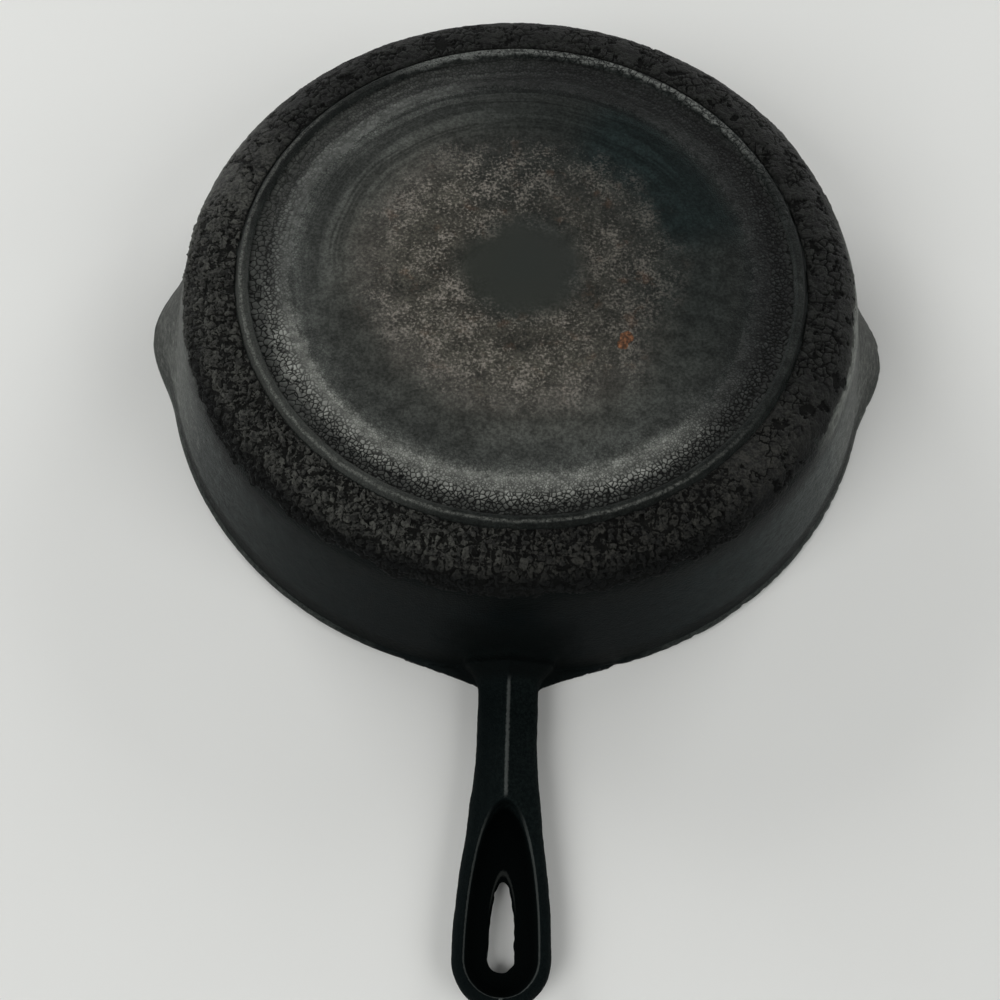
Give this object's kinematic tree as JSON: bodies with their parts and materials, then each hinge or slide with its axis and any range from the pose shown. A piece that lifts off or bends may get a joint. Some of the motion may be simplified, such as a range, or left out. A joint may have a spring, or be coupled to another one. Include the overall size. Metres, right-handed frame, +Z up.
{
  "type": "burnt frying pan",
  "caption": "Burnt cast iron frying pan, upside down: heat ring, two pour spouts and a ridged handle with a hanging slot; crazed carbon on its base and wall.",
  "frame": {"origin": "centre of the rim, on the plane that the rim rests on when the pan lies upside down", "axes": "+Z up through the base, square to the heat ring; -Y along the handle, which is the longest way; +X through a pour spout"},
  "size_m": [0.286, 0.3798, 0.0576],
  "materials": {
    "cast_iron": "black burnt seasoning, satin on the wall and handle, crazed and flaking carbon on the base's rim and shoulder, a spot of rust"
  },
  "bodies": {
    "root": {"skillet": "cast_iron"}
  },
  "joints": []
}
